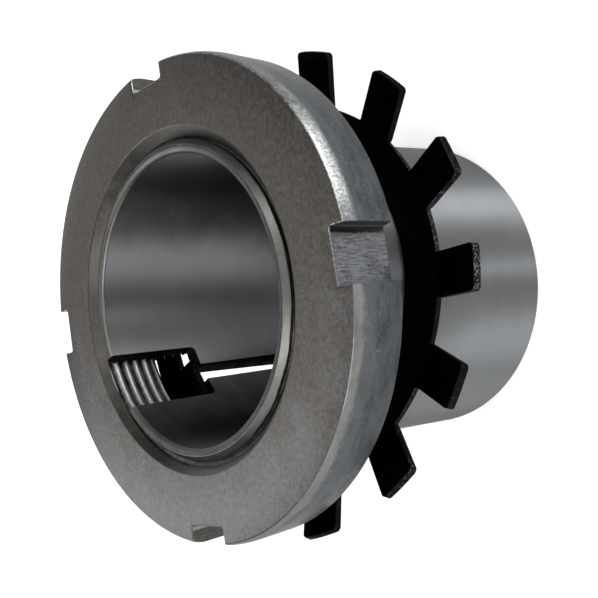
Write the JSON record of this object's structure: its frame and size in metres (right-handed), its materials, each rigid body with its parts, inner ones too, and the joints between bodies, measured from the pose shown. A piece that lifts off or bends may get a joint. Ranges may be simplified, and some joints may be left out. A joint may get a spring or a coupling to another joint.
{
  "type": "bearing adapter sleeve",
  "caption": "Slit tapered adapter sleeve with its slotted lock nut and black tabbed lock washer, for seating a taper bore bearing on a plain shaft.",
  "frame": {"origin": "centre of the sleeve's large end face, on which the part stands", "axes": "+Z along the sleeve's axis, from the large end towards the lock nut; +X and +Y through spanner notches of the nut"},
  "size_m": [0.0625, 0.0623, 0.0463],
  "materials": {
    "sleeve_steel": "ground, satin",
    "nut_steel": "turned and milled, dull",
    "washer_steel": "black oxide, satin"
  },
  "bodies": {
    "sleeve": {"sleeve": "sleeve_steel"},
    "lock_washer": {"lock_washer": "washer_steel"},
    "lock_nut": {"lock_nut": "nut_steel"}
  },
  "joints": [
    {"name": "washer_slide", "type": "slide", "parent": "sleeve", "child": "lock_washer", "axis": [0, 0, 1], "range_m": [0, 0.00751]},
    {"name": "nut_turn", "type": "hinge", "parent": "lock_washer", "child": "lock_nut", "pos_m": [0, 0, 0.0418], "axis": [0, 0, 1], "range_deg": [0, 1800]}
  ],
  "couplings": [
    {"joint": "washer_slide", "follows": "nut_turn", "m_per_rad": 0.00023873}
  ]
}
